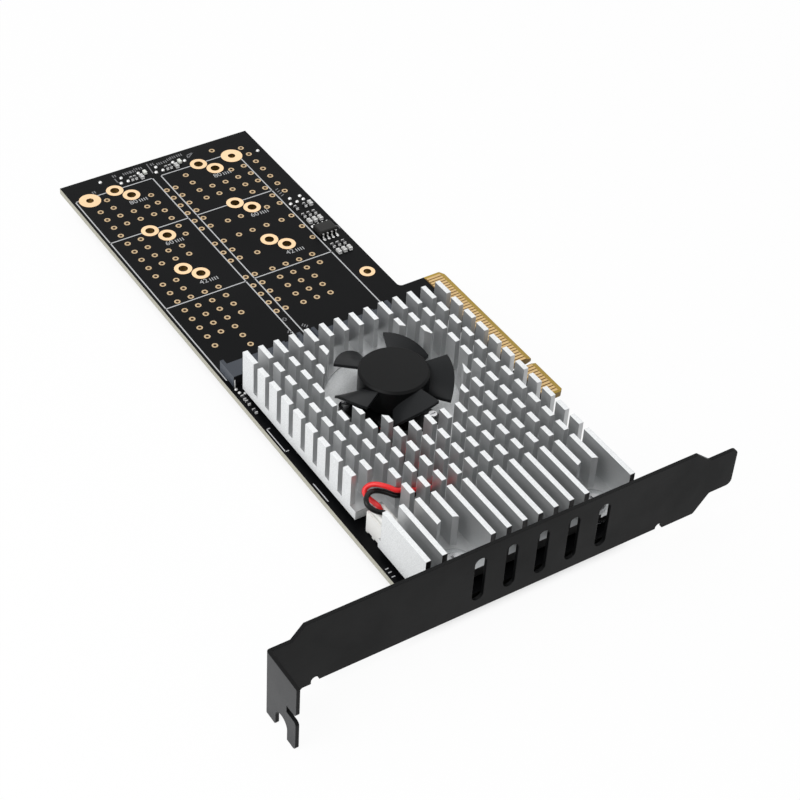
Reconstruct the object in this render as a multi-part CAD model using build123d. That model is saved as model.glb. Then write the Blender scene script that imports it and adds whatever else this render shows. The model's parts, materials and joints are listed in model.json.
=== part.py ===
"""Expansion card that carries four M.2 drives behind one switch chip.

Frame: millimetres, origin at the middle of the key notch on the tip of the edge connector,
+X out of the edge connector, +Y along the card away from the bracket, +Z out of the
component side, with the board's upper face at Z = 0.
"""
from build123d import *
import math
import os

os.makedirs("parts", exist_ok=True)

# Board
board_thickness = 1.6
board_height = 68.9
step_height = 13.0
board_far_y = 117.9
board_near_y = -56.3
key_notch_width = 1.9
key_notch_depth = 7.6
long_tongue = 38.65
short_tongue = 11.65
tongue_chamfer = 1.0
bevel_length = 1.3
bevel_depth = 0.4
inner_corner_radius = 1.2

# Edge contacts
contact_pitch = 1.0
contact_width = 0.7
contact_length = 4.1
contact_skin = 0.04
first_contact = 0.55
long_tongue_contacts = 38
short_tongue_contacts = 11

# Drive positions: one column of holes for each drive, measured from the socket datum
drive_pitch = 25.0
left_drive_x = -56.75
drive_lengths = (80.0, 60.0, 42.0)
top_datum_y = 30.1
back_shift_x = 3.0
back_shift_y = -3.77
standoff_hole = 2.5
ring_diameter = 4.6
ring_skin = 0.05
corner_pad_x = (-64.4, -22.1)
corner_pad_y = 109.2
corner_pad_diameter = 5.8
corner_pad_hole = 2.1
margin_hole_x = -16.8
margin_hole_y = 48.6
margin_ring_diameter = 4.0
margin_hole = 2.1

# Drive sockets
socket_width = 21.9
socket_depth = 6.7
socket_mouth_reach = 3.1
top_socket_height = 3.2
back_socket_height = 3.2
socket_slot_width = 20.1
socket_slot_height = 1.3
socket_slot_depth = 4.8
socket_slot_drop = 1.75
socket_lip_depth = 1.7
socket_lip_drop = 1.15
socket_key_width = 1.1
socket_tail_pitch = 0.5

# Heatsink
sink_left_x = -67.03
sink_far_y = 23.4
sink_near_y = -53.6
sink_base_z = 1.7
sink_base_thickness = 2.4
fin_top_z = 12.9
fin_thickness = 1.25
fin_count = 14
fin_pitch = 4.085
cut_count = 11
cut_pitch = 5.32
cut_width = 1.87
first_cut_y = 17.45
smallest_pin_area = 1.0
plug_recess_length = 9.3
plug_recess_columns = 2
plug_recess_rows = 2
pocket_x = (-56.4, -19.6)
pocket_y = -49.7
pocket_radius = 4.9
counterbore_radius = 4.0
counterbore_depth = 1.1
boss_radius = 3.2
rear_screw_x = (-61.9, -17.8)
rear_screw_y = 14.0
screw_radius = 1.5
screw_clearance = 0.2
screw_head_radius = 2.75
screw_head_height = 1.6

# Switch chip
chip_size = 27.0
chip_thickness = 1.0
die_size = 14.0
pad_thickness = 0.3
pad_size = 17.0

# Fan
fan_x = -39.85
fan_y = 1.2
fan_pocket_radius = 15.95
fan_pocket_sink = 0.3
fan_plate_radius = 8.2
fan_plate_thickness = 1.5
fan_web_radius = 12.8
fan_ear_radius = 1.7
fan_screw_circle = 11.6
fan_screw_angles = (170, 50, -70)
hub_radius = 8.35
hub_top_z = 12.9
hub_wall = 0.9
hub_bottom_z = 6.4
blade_count = 5
blade_first_angle = -27.5
blade_tip_radius = 14.0
blade_thickness = 0.8
blade_high_z = 11.9
blade_low_z = 7.5
blade_crown = 1.1
blade_half_angle = 23.5
shaft_radius = 0.75
bearing_wall = 0.65
bearing_length = 4.8
post_height = 4.6
sleeve_radius = 2.2
coil_radius = 6.0
magnet_thickness = 0.8
magnet_height = 4.2
driver_board_radius = 7.2
coil_height = 3.6

# Fan lead and its plug
lead_diameter = 1.2
lead_gap = 0.05
lead_channel = 5
lead_climb = 4.0
lead_entry_reach = 7.8
lead_entry_length = 1.5
header_x = -63.55
header_y = -31.95
header_size_x = 4.5
header_size_y = 5.9
header_height = 6.0
header_wall = 0.6
plug_proud = 1.2
plug_bore_depth = 0.6
pin_pitch = 2.0
pin_side = 0.5

# Bracket
sheet = 0.86
bracket_face_y = -58.37
bracket_left_x = -107.5
bracket_length = 120.02
bracket_top_z = 15.9
bracket_end_bottom_z = -2.95
tab_top_z = 12.6
tab_height = 18.42
tab_depth = 12.0
tab_notch_reach = 5.5
tab_notch_half = 2.3
tab_notch_height = 5.1
tab_slot_depth = 3.6
tab_slot_z = (2.4, 4.4)
relief_radius = 1.0
tongue_top_z = 12.45
tongue_bottom_z = 1.75
slot_count = 5
slot_pitch = 8.05
slot_first_x = -56.4
slot_width = 3.0
slot_height = 12.6
slot_middle_z = 6.7
flange_left_x = -95.2
flange_right_x = -8.3
flange_depth = 4.5
ear_half_width = 5.0

# Memory chip on the right margin
memory_x = -17.4
memory_y = 68.3
memory_length = 4.9
memory_width = 3.9
memory_height = 1.5
memory_lift = 0.2
memory_pitch = 1.27
memory_lead_width = 0.4
memory_lead_reach = 3.4
memory_foot = 1.1

# Small parts, as width, length and height, and where they stand
resistor_size = (0.7, 1.5, 0.45)
capacitor_size = (0.9, 1.6, 0.7)
lamp_size = (0.8, 1.4, 0.7)
margin_parts_x = -18.9
margin_parts_pitch = 1.6
margin_resistors_y = (76.4, 61.8)
margin_capacitors_y = (73.5, 58.9)
margin_pair_y = 80.3
margin_pair_gap = 2.6
lamp_group_x = (-54.0, -43.55)
far_resistor_inset = 5.4
far_resistor_offset = 3.5
far_resistor_pitch = 1.1
far_capacitor_inset = 5.9
far_capacitor_offset = 6.2
lamp_inset = 4.6
lamp_offset = 7.8
socket_capacitors_x = -67.6
socket_capacitors_y = (22.0, 19.9, 16.6)

# Power parts on the back, as width, length and height
power_x = (-51.0, -28.0)
inductor_size = (6.6, 6.6, 2.4)
inductor_y = -26.0
regulator_size = (4.0, 5.0, 0.9)
regulator_y = -35.0
back_rows_x = -46.0
back_rows_y = (7.0, -4.0)
back_rows_pitch = 4.0
power_capacitors_x = -44.5
power_capacitors_pitch = 3.0

board_right_x = -step_height
board_left_x = -board_height
half_key = key_notch_width / 2
fan_axis = Location((fan_x, fan_y, 0))
base_top_z = sink_base_z + sink_base_thickness
pocket_floor_z = base_top_z - fan_pocket_sink
plate_top_z = pocket_floor_z + fan_plate_thickness


def box(x0, x1, y0, y1, z0, z1):
    """A box between two corners."""
    middle = Location(((x0 + x1) / 2, (y0 + y1) / 2, (z0 + z1) / 2))
    return middle * Box(x1 - x0, y1 - y0, z1 - z0)


def upright(radius, x, y, z0, z1):
    """A round bar along Z between two heights."""
    return Location((x, y, (z0 + z1) / 2)) * Cylinder(radius, z1 - z0)


def prism(points, z0, z1):
    """A closed outline in XY, raised from one height to another."""
    outline = make_face(Polyline(*points, close=True))
    return Location((0, 0, z0)) * extrude(outline, z1 - z0)


def drive_holes():
    """Centres of the standoff holes, for the drives of both sides of the board."""
    holes = []
    for column in (0, 1):
        x = left_drive_x + column * drive_pitch
        for length in drive_lengths:
            holes.append((x, top_datum_y + length))
            holes.append((x + back_shift_x, top_datum_y + back_shift_y + length))
    return holes


def plated_holes():
    """Every plated hole as x, y, hole diameter and ring diameter."""
    holes = [(x, y, standoff_hole, ring_diameter) for x, y in drive_holes()]
    holes += [(x, corner_pad_y, corner_pad_hole, corner_pad_diameter) for x in corner_pad_x]
    holes.append((margin_hole_x, margin_hole_y, margin_hole, margin_ring_diameter))
    return holes


def board():
    """The circuit board with its two tongues, key notch, bevelled tip and holes."""
    far_tongue = half_key + long_tongue
    near_tongue = -half_key - short_tongue
    tip = tongue_chamfer
    outline = [
        (board_left_x, board_near_y),
        (board_right_x, board_near_y),
        (board_right_x, near_tongue),
        (-tip, near_tongue),
        (0, near_tongue + tip),
        (0, far_tongue - tip),
        (-tip, far_tongue),
        (board_right_x, far_tongue),
        (board_right_x, board_far_y),
        (board_left_x, board_far_y),
    ]
    body = prism(outline, -board_thickness, 0)
    inner = body.edges().filter_by(Axis.Z).filter_by_position(Axis.Y, near_tongue - 0.01, far_tongue + 0.01)
    inner = inner.filter_by_position(Axis.X, board_right_x - 0.01, board_right_x + 0.01)
    body = fillet(inner, inner_corner_radius)
    for z, side in ((0, -1), (-board_thickness, 1)):
        wedge = make_face(Polyline((-bevel_length, z), (1, z), (1, z + side * bevel_depth * 1.7),
                                   (0, z + side * bevel_depth), close=True))
        wedge = Plane.XZ * wedge
        cutter = extrude(wedge, 200, both=True)
        body -= cutter
    notch = box(-key_notch_depth + half_key, 1, -half_key, half_key, -3, 1)
    notch += upright(half_key, -key_notch_depth + half_key, 0, -3, 1)
    body -= notch
    for x, y, hole, ring in plated_holes():
        body -= upright(hole / 2, x, y, -3, 1)
    for x in pocket_x:
        body -= upright(screw_radius + screw_clearance, x, pocket_y, -3, 1)
    for x in rear_screw_x:
        body -= upright(screw_radius + screw_clearance, x, rear_screw_y, -3, 1)
    for y in header_pins_y():
        body -= upright(pin_side / 2 + 0.1, header_x, y, -3, 1)
    return body


def contacts(z0):
    """The gold contact fingers of one face of the edge connector."""
    fingers = []
    for i in range(long_tongue_contacts):
        fingers.append(half_key + first_contact + i * contact_pitch)
    for i in range(short_tongue_contacts):
        fingers.append(-half_key - first_contact - i * contact_pitch)
    tip = -bevel_length - 0.05
    pads = [box(tip - contact_length, tip, y - contact_width / 2, y + contact_width / 2,
                z0, z0 + contact_skin) for y in fingers]
    return Compound(pads)


def plated_ring(x, y, hole, ring):
    """One plated hole: a barrel in the board with a gold ring on each face."""
    low = -board_thickness
    bore = hole / 2
    rim = ring / 2
    profile = Polyline((bore - ring_skin, low - ring_skin), (rim, low - ring_skin), (rim, low), (bore, low),
                       (bore, 0), (rim, 0), (rim, ring_skin), (bore - ring_skin, ring_skin), close=True)
    spool = revolve(Plane.XZ * make_face(profile), Axis.Z)
    return Location((x, y, 0)) * spool


def sink_cutters():
    """What is milled out of the heatsink: the fan pocket, two screw pockets and the plug recess."""
    cutters = upright(fan_pocket_radius, fan_x, fan_y, pocket_floor_z, fin_top_z + 1)
    open_z = fin_top_z + 1
    for x in pocket_x:
        cutters += upright(pocket_radius, x, pocket_y, base_top_z, open_z)
        cutters += box(x - pocket_radius, x + pocket_radius, sink_near_y - 1, pocket_y, base_top_z, open_z)
        cutters += upright(counterbore_radius, x, pocket_y, base_top_z - counterbore_depth, base_top_z + 1)
        cutters += upright(screw_radius + screw_clearance, x, pocket_y, -1, base_top_z)
    recess_near = last_cut_y()
    recess_right = sink_left_x + plug_recess_columns * fin_pitch - (fin_pitch - fin_thickness) / 2
    cutters += box(sink_left_x - 1, recess_right, recess_near, recess_near + plug_recess_length, 0, open_z)
    rows_y = recess_near + plug_recess_rows * cut_pitch
    cutters += box(sink_left_x - 1, recess_right, recess_near, rows_y, base_top_z, open_z)
    return cutters


def last_cut_y():
    """Middle of the cross cut nearest the bracket."""
    return first_cut_y - (cut_count - 1) * cut_pitch


def heatsink():
    """Aluminium heatsink: a base with fins along Y, cross-cut into pins, then milled.

    A pin that the fan pocket leaves only a sliver of is milled away with it.
    """
    sink_right_x = sink_left_x + (fin_count - 1) * fin_pitch + fin_thickness
    base = box(sink_left_x, sink_right_x, sink_near_y, sink_far_y, sink_base_z, base_top_z)
    middle_y = (sink_near_y + sink_far_y) / 2
    fins = Sketch()
    for i in range(fin_count):
        x = sink_left_x + fin_thickness / 2 + i * fin_pitch
        fins += Location((x, middle_y)) * Rectangle(fin_thickness, sink_far_y - sink_near_y)
    middle_x = (sink_left_x + sink_right_x) / 2
    for i in range(cut_count):
        y = first_cut_y - i * cut_pitch
        fins -= Location((middle_x, y)) * Rectangle(sink_right_x - sink_left_x + 2, cut_width)
    fins -= Location((fan_x, fan_y)) * Circle(fan_pocket_radius)
    fins = Sketch() + [pin for pin in fins.faces() if pin.area > smallest_pin_area]
    body = base + Location((0, 0, base_top_z)) * extrude(fins, fin_top_z - base_top_z)
    for x in pocket_x:
        body += upright(boss_radius, x, pocket_y, 0, sink_base_z)
    for x in rear_screw_x:
        body += upright(boss_radius, x, rear_screw_y, 0, sink_base_z)
        body -= upright(screw_radius, x, rear_screw_y, -1, base_top_z - 0.6)
    body -= sink_cutters()
    for angle in fan_screw_angles:
        x, y = fan_screw_place(angle)
        body -= upright(0.5, x, y, sink_base_z + 0.5, base_top_z + 1)
    return body


def fan_place(reach, angle):
    """The point at a distance from the fan's axis, in a direction given in degrees from +X."""
    turn = math.radians(angle)
    return fan_x + reach * math.cos(turn), fan_y + reach * math.sin(turn)


def fan_screw_place(angle):
    """Centre of one of the fan's fixing screws."""
    return fan_place(fan_screw_circle, angle)


def pan_screw(x, y, head_z, length, up):
    """A pan-head machine screw: head seated at head_z, shank running the other way from up."""
    side = 1 if up else -1
    head = Cylinder(screw_head_radius, screw_head_height)
    head = chamfer(head.edges().group_by(Axis.Z)[-1], 0.5)
    recess = Box(3.0, 0.6, 1.4) + Box(0.6, 3.0, 1.4)
    head -= Location((0, 0, screw_head_height / 2)) * recess
    shank = Location((0, 0, -screw_head_height / 2 - length / 2)) * Cylinder(screw_radius, length)
    screw = Location((0, 0, screw_head_height / 2)) * (head + shank)
    if not up:
        screw = Rotation(180, 0, 0) * screw
    return Location((x, y, head_z)) * screw


def small_screw(x, y, head_z):
    """One of the fan's short fixing screws."""
    head = upright(1.0, x, y, head_z, head_z + 0.8)
    head -= Location((x, y, head_z + 0.8)) * Box(1.3, 0.3, 0.6)
    return head + upright(0.5, x, y, sink_base_z + 0.5, head_z)


def fan_plate():
    """The fan's fixed base: a disc with three screw arms, a web between two of them and a post.

    The web is on the side where the leads come in, and is notched for them.
    """
    z0 = pocket_floor_z
    z1 = plate_top_z
    plate = upright(fan_plate_radius, fan_x, fan_y, z0, z1)
    web_start, _, web_end = fan_screw_angles
    web_corners = [(fan_x, fan_y)]
    for angle in (web_start, (web_start + web_end + 360) / 2, web_end):
        web_corners.append(fan_place(3 * fan_web_radius, angle))
    plate += upright(fan_web_radius, fan_x, fan_y, z0, z1) & prism(web_corners, z0, z1)
    for angle in fan_screw_angles:
        x, y = fan_screw_place(angle)
        arm = Location((fan_screw_circle / 2, 0, (z0 + z1) / 2)) * Box(
            fan_screw_circle, 2 * fan_ear_radius, z1 - z0)
        plate += fan_axis * (Rotation(0, 0, angle) * arm)
        plate += upright(fan_ear_radius, x, y, z0, z1)
    entry_half = lead_diameter / 2 + 0.1
    x = lead_channel_x()
    y = fan_y - lead_entry_reach
    plate -= box(x - entry_half, x + entry_half, y - 2 * fan_web_radius, y, z0 - 1, z1 + 1)
    entry_top = lead_low_z(True) + lead_diameter / 2
    plate += box(x - entry_half, x + entry_half, y, y + lead_entry_length, z1 - 0.2, entry_top)
    plate += upright(sleeve_radius, fan_x, fan_y, z1, z1 + post_height)
    plate -= upright(shaft_radius + bearing_wall, fan_x, fan_y, z0 + 0.5, z1 + 2 * post_height)
    for angle in fan_screw_angles:
        x, y = fan_screw_place(angle)
        plate -= upright(0.5, x, y, z0 - 1, z1 + 1)
    return plate


def fan_board():
    """The ring-shaped driver board that lies on the fan's base."""
    ring = Cylinder(driver_board_radius, 0.5) - Cylinder(sleeve_radius, 1)
    return Location((fan_x, fan_y, plate_top_z + 0.25)) * ring


def fan_coil():
    """The four-pole stator around the bearing post."""
    z0 = plate_top_z + 0.5
    height = coil_height
    core = Cylinder(3.4, height)
    for quarter in range(4):
        pole = Location((3.8, 0, 0)) * Box(3.4, 1.8, height)
        pole += Location((coil_radius - 0.4, 0, 0)) * Box(0.8, 6.0, height)
        core += Rotation(0, 0, 45 + 90 * quarter) * pole
    core = core & Cylinder(coil_radius, height)
    core -= Cylinder(sleeve_radius, height + 1)
    return Location((fan_x, fan_y, z0 + height / 2)) * core


def fan_bearing():
    """The bearing sleeve pressed into the post of the fan's base."""
    z0 = pocket_floor_z + 0.5
    sleeve = Cylinder(shaft_radius + bearing_wall, bearing_length)
    sleeve -= Cylinder(shaft_radius + 0.05, 2 * bearing_length)
    return Location((fan_x, fan_y, z0 + bearing_length / 2)) * sleeve


def fan_shaft():
    """The steel shaft that the rotor turns on."""
    return upright(shaft_radius, fan_x, fan_y, pocket_floor_z + 0.55, hub_top_z - hub_wall)


def fan_magnet():
    """The magnet ring inside the hub."""
    outer = hub_radius - hub_wall
    ring = Cylinder(outer, magnet_height) - Cylinder(outer - magnet_thickness, 2 * magnet_height)
    return Location((fan_x, fan_y, hub_bottom_z + 0.5 + magnet_height / 2)) * ring


def blade_section(offset):
    """Closed section of a blade in the plane at the given distance from the axis.

    The blade is crowned: it leaves its high edge level and falls faster toward its low edge.
    """
    half_width = offset * math.tan(math.radians(blade_half_angle))
    rise = (blade_high_z - blade_low_z) / 2
    middle = (blade_high_z + blade_low_z) / 2
    low = ThreePointArc((-half_width, -rise), (0, blade_crown), (half_width, rise))
    high = ThreePointArc((half_width, rise + blade_thickness), (0, blade_thickness + blade_crown),
                         (-half_width, blade_thickness - rise))
    face = make_face([low, Line(low @ 1, high @ 0), high, Line(high @ 1, low @ 0)])
    return Plane(origin=(offset, 0, middle - blade_thickness / 2), x_dir=(0, 1, 0), z_dir=(1, 0, 0)) * face


def fan_blades():
    """Blades that twist out of the hub, trimmed to the tip circle."""
    root = blade_section(hub_radius - 1.2)
    tip = blade_section(blade_tip_radius + 0.6)
    blade = loft([root, tip])
    rim = Cylinder(blade_tip_radius, 40) - Cylinder(hub_radius - 0.4, 41)
    blade = blade & rim
    return [Rotation(0, 0, blade_first_angle + i * 360 / blade_count) * blade for i in range(blade_count)]


def fan_rotor():
    """The fan's turning piece: a cup-shaped hub with five wide blades."""
    depth = hub_top_z - hub_bottom_z
    cup = Location((0, 0, hub_bottom_z + depth / 2)) * Cylinder(hub_radius, depth)
    cup = chamfer(cup.edges().group_by(Axis.Z)[-1], 0.5)
    hollow = Location((0, 0, hub_bottom_z + (depth - hub_wall) / 2 - 0.5)) * Cylinder(
        hub_radius - hub_wall, depth - hub_wall + 1)
    rotor = cup - hollow
    for blade in fan_blades():
        rotor += blade
    return fan_axis * rotor


def socket_body(height):
    """A drive socket's housing with its slot, open toward +Y, standing on Z = 0."""
    body = Location((0, 0, height / 2)) * Box(socket_width, socket_depth, height)
    slot_z = height - socket_slot_drop
    slot = Location((0, socket_depth / 2, slot_z)) * Box(
        socket_slot_width, 2 * socket_slot_depth, socket_slot_height)
    body -= slot
    lip = Location((0, socket_depth / 2, height)) * Box(
        socket_slot_width, 2 * socket_lip_depth, 2 * socket_lip_drop)
    body -= lip
    key = Location((6.1, socket_depth / 2 - socket_slot_depth / 2, slot_z)) * Box(
        socket_key_width, socket_slot_depth, socket_slot_height)
    body += key
    ridge = Location((0, -socket_depth / 2 + 0.4, height)) * Box(socket_width - 5, 0.8, 0.5)
    body -= ridge
    return body


def socket_tails():
    """The row of solder tails along the back of a drive socket, on Z = 0."""
    count = int(socket_slot_width / socket_tail_pitch) - 6
    tails = []
    for i in range(count):
        x = (i - (count - 1) / 2) * socket_tail_pitch
        tails.append(Location((x, -socket_depth / 2 - 0.4, 0.1)) * Box(0.22, 0.8, 0.2))
    return Compound(tails)


def socket_places():
    """Where the four drive sockets go, as x, y and whether each is on the back."""
    middle_y = top_datum_y + socket_mouth_reach - socket_depth / 2
    places = []
    for column in (0, 1):
        x = left_drive_x + column * drive_pitch
        places.append((x, middle_y, False))
        places.append((x + back_shift_x, middle_y + back_shift_y, True))
    return places


def seat(piece, x, y, on_back):
    """Put a piece made on Z = 0 on one face of the board."""
    if on_back:
        return Location((x, y, -board_thickness)) * (Rotation(0, 180, 0) * piece)
    return Location((x, y, 0)) * piece


def bracket_outline():
    """The bracket's face in XZ, before its folds."""
    left = bracket_left_x
    right = bracket_left_x + bracket_length
    low = bracket_end_bottom_z
    tab_low = tab_top_z - tab_height
    step = bracket_top_z - tab_top_z
    points = [
        (left, tab_top_z),
        (left + 5.6, tab_top_z),
        (left + 5.6 + step * 0.9, bracket_top_z),
        (0.6, bracket_top_z),
        (4.6, tongue_top_z),
        (right, tongue_top_z),
        (right, tongue_bottom_z),
        (6.3, tongue_bottom_z),
        (2.5, low),
        (left + 8.2, low),
        (left + 5.3, tab_low),
        (left, tab_low),
    ]
    return make_face(Polyline(*points, close=True))


def bracket_plate():
    """The upright plate with its ventilation slots, rounded end and bend reliefs."""
    face = Plane.XZ * bracket_outline()
    plate = Location((0, bracket_face_y + sheet, 0)) * extrude(face, sheet)
    right = bracket_left_x + bracket_length
    corners = plate.edges().filter_by(Axis.Y).filter_by_position(Axis.X, right - 0.01, right + 0.01)
    plate = fillet(corners, 1.5)
    bends = plate.edges().filter_by(Axis.Y).filter_by_position(Axis.X, 0, 8)
    plate = fillet(bends, 0.8)
    middle_y = bracket_face_y + sheet / 2
    for i in range(slot_count):
        x = slot_first_x + i * slot_pitch
        slot = Plane.XZ * SlotOverall(slot_height, slot_width, rotation=90)
        cutter = extrude(slot, 4, both=True)
        plate -= Location((x, middle_y, slot_middle_z)) * cutter
    trim_z = -board_thickness - sheet
    relief_z = trim_z + sheet / 4
    for x in (flange_left_x - relief_radius, flange_right_x + relief_radius):
        relief = Rotation(90, 0, 0) * Cylinder(relief_radius, 6)
        plate -= Location((x, middle_y, relief_z)) * relief
        x0 = x - relief_radius
        plate -= box(x0, x0 + 2 * relief_radius, bracket_face_y - 1, bracket_face_y + 2, -6, relief_z)
    plate -= box(flange_left_x, flange_right_x, bracket_face_y - 1, bracket_face_y + 2, -6, trim_z)
    return plate


def bracket_flange():
    """The lip folded under the board, with two ears for the screws of the screw pockets."""
    z1 = -board_thickness
    z0 = z1 - sheet
    lip = box(flange_left_x, flange_right_x, bracket_face_y, bracket_face_y + flange_depth, z0, z1)
    ear_y = pocket_y + ear_half_width - 1
    for x in pocket_x:
        lip += box(x - ear_half_width, x + ear_half_width, bracket_face_y, ear_y, z0, z1)
    fold = lip.edges().filter_by(Axis.X)
    fold = fold.filter_by_position(Axis.Y, bracket_face_y - 0.01, bracket_face_y + 0.01)
    lip = fillet(fold.sort_by(Axis.Z)[0], 0.7)
    for x in pocket_x:
        lip -= upright(screw_radius, x, pocket_y, z0 - 1, z1 + 1)
    return lip


def bracket_tab():
    """The folded screw tab with its open screw notch and the slot in its outer edge."""
    x0 = bracket_left_x
    x1 = x0 + sheet
    y1 = bracket_face_y + sheet
    y0 = y1 - tab_depth
    z0 = tab_top_z - tab_height
    tab = box(x0, x1, y0, y1, z0, tab_top_z)
    notch_y = y0 + tab_notch_reach
    notch_middle_z = z0 + tab_notch_height - tab_notch_half
    tab -= box(x0 - 1, x1 + 1, notch_y - tab_notch_half, notch_y + tab_notch_half, z0 - 1, notch_middle_z)
    round_end = Rotation(0, 90, 0) * Cylinder(tab_notch_half, sheet + 2)
    tab -= Location(((x0 + x1) / 2, notch_y, notch_middle_z)) * round_end
    tab -= box(x0 - 1, x1 + 1, y0 - 1, y0 + tab_slot_depth, *tab_slot_z)
    tips = tab.edges().filter_by(Axis.X).filter_by_position(Axis.Y, y0 - 0.01, y0 + 0.01)
    tab = fillet(tips.sort_by(Axis.Z)[0:3], 0.9)
    lobe_y = notch_y + tab_notch_half
    lobe = tab.edges().filter_by(Axis.X).filter_by_position(Axis.Y, lobe_y - 0.01, lobe_y + 0.01)
    return fillet(lobe.sort_by(Axis.Z)[0], 0.5)


def bracket():
    """The folded steel bracket."""
    body = bracket_plate() + bracket_tab() + bracket_flange()
    corner = body.edges().filter_by(Axis.Z).filter_by_position(
        Axis.X, bracket_left_x - 0.01, bracket_left_x + 0.01)
    corner = corner.filter_by_position(Axis.Y, bracket_face_y + sheet - 0.01, bracket_face_y + sheet + 0.01)
    return fillet(corner, 0.8)


def memory_chip():
    """The eight-lead memory chip's moulded body."""
    middle = Location((memory_x, memory_y, memory_lift + memory_height / 2))
    body = Box(memory_length, memory_width, memory_height)
    return middle * chamfer(body.edges().group_by(Axis.Z)[-1], 0.25)


def memory_leads():
    """The memory chip's bent leads, each a foot, a rise and a shoulder into the body."""
    thickness = 0.2
    foot_in = memory_lead_reach - memory_foot
    shoulder_z = memory_lift + memory_height / 2
    profile = [
        (foot_in, 0),
        (memory_lead_reach, 0),
        (memory_lead_reach, thickness),
        (foot_in + thickness, thickness),
        (foot_in + thickness, shoulder_z + thickness),
        (memory_width / 2, shoulder_z + thickness),
        (memory_width / 2, shoulder_z),
        (foot_in, shoulder_z),
    ]
    one = Plane.YZ * make_face(Polyline(*profile, close=True))
    one = extrude(one, memory_lead_width / 2, both=True)
    leads = []
    for i in range(4):
        x = memory_x + (i - 1.5) * memory_pitch
        leads.append(Location((x, memory_y, 0)) * one)
        leads.append(Location((x, memory_y, 0)) * (Rotation(0, 0, 180) * one))
    return Compound(leads)


def chips(places, size, base_z=0.0):
    """Equal rectangular parts of the given width, length and height, standing at base_z."""
    width, length, height = size
    return Compound([Location((x, y, base_z + height / 2)) * Box(width, length, height) for x, y in places])


def under_chips(places, size):
    """Equal rectangular parts hanging from the board's lower face."""
    return chips(places, size, -board_thickness - size[2])


def row(x, y, pitch, count):
    """Evenly spaced places along X."""
    return [(x + i * pitch, y) for i in range(count)]


def small_parts():
    """The resistors, capacitors and lamps of the board's upper face, by node name."""
    resistors = []
    capacitors = []
    for y in margin_resistors_y:
        resistors += row(margin_parts_x, y, margin_parts_pitch, 3)
    for y in margin_capacitors_y:
        capacitors += row(margin_parts_x, y, margin_parts_pitch, 3)
    resistors += row(margin_parts_x, margin_pair_y, margin_pair_gap, 2)
    capacitors.append((margin_parts_x + margin_pair_gap + margin_parts_pitch, margin_pair_y))
    far_resistors = []
    far_capacitors = []
    lamps = []
    for x in lamp_group_x:
        resistor_x = x + far_resistor_offset
        far_resistors += row(resistor_x, board_far_y - far_resistor_inset, far_resistor_pitch, 2)
        far_capacitors.append((x + far_capacitor_offset, board_far_y - far_capacitor_inset))
        lamps.append((x + lamp_offset, board_far_y - lamp_inset))
    beside_socket = [(socket_capacitors_x, y) for y in socket_capacitors_y]
    return {
        "margin_resistors": chips(resistors, resistor_size),
        "margin_capacitors": chips(capacitors, capacitor_size),
        "far_end_resistors": chips(far_resistors, resistor_size),
        "far_end_capacitors": chips(far_capacitors, capacitor_size),
        "indicator_lights": chips(lamps, lamp_size),
        "socket_capacitors": chips(beside_socket, resistor_size),
    }


def power_parts():
    """The inductors, regulators and capacitors of the board's lower face, by node name."""
    capacitors = row(power_capacitors_x, regulator_y + 1, power_capacitors_pitch, 4)
    for y in back_rows_y:
        capacitors += row(back_rows_x, y, back_rows_pitch, 4)
    return {
        "power_inductors": under_chips([(x, inductor_y) for x in power_x], inductor_size),
        "power_regulators": under_chips([(x, regulator_y) for x in power_x], regulator_size),
        "back_capacitors": under_chips(capacitors, capacitor_size),
    }


def square_under_fan(side, z0, z1):
    """A square plate with its middle on the fan's axis."""
    half = side / 2
    return box(fan_x - half, fan_x + half, fan_y - half, fan_y + half, z0, z1)


def fan_header():
    """The open box of the two-pin fan header, with its feet and pin floor."""
    body = box(header_x - header_size_x / 2, header_x + header_size_x / 2,
               header_y - header_size_y / 2, header_y + header_size_y / 2, 0.5, header_height)
    body -= box(header_x - header_size_x / 2 + header_wall, header_x + header_size_x / 2 - header_wall,
                header_y - header_size_y / 2 + header_wall, header_y + header_size_y / 2 - header_wall,
                1.6, header_height + 1)
    for side in (-1, 0, 1):
        y = header_y + side * (header_size_y / 2 - 0.5)
        body += box(header_x - header_size_x / 2, header_x + header_size_x / 2, y - 0.45, y + 0.45, 0, 0.5)
    for y in header_pins_y():
        body -= upright(pin_side * 0.75, header_x, y, -1, 2)
    return body


def header_pins_y():
    """The two pins' places along Y."""
    return (header_y + pin_pitch / 2, header_y - pin_pitch / 2)


def fan_plug():
    """The plug pushed into the header, with a bore for each crimped lead."""
    gap = 0.1
    half_x = header_size_x / 2 - header_wall - gap
    half_y = header_size_y / 2 - header_wall - gap
    body = box(header_x - half_x, header_x + half_x, header_y - half_y, header_y + half_y, 1.6,
               header_height + plug_proud)
    body = chamfer(body.edges().group_by(Axis.Z)[-1], 0.2)
    for y in header_pins_y():
        body -= upright(pin_side * 0.75, header_x, y, 1, header_height - plug_bore_depth)
        body -= upright(lead_diameter / 2 + lead_gap, header_x, y, header_height - plug_bore_depth,
                        header_height + 2)
    return body


def header_pins():
    """The header's two pins."""
    low = -board_thickness - 0.6
    return Compound([upright(pin_side / 2, header_x, y, low, 5.0) for y in header_pins_y()])


def lead_channel_x():
    """Middle of the gap between two fins that the leads lie in."""
    return sink_left_x + lead_channel * fin_pitch - (fin_pitch - fin_thickness) / 2


def lead_low_z(upper):
    """Height of a lead's middle where the two lie on each other on the heatsink's floor."""
    rise = (lead_diameter + 2 * lead_gap) if upper else 0.0
    return base_top_z + lead_diameter / 2 + lead_gap + rise


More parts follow.
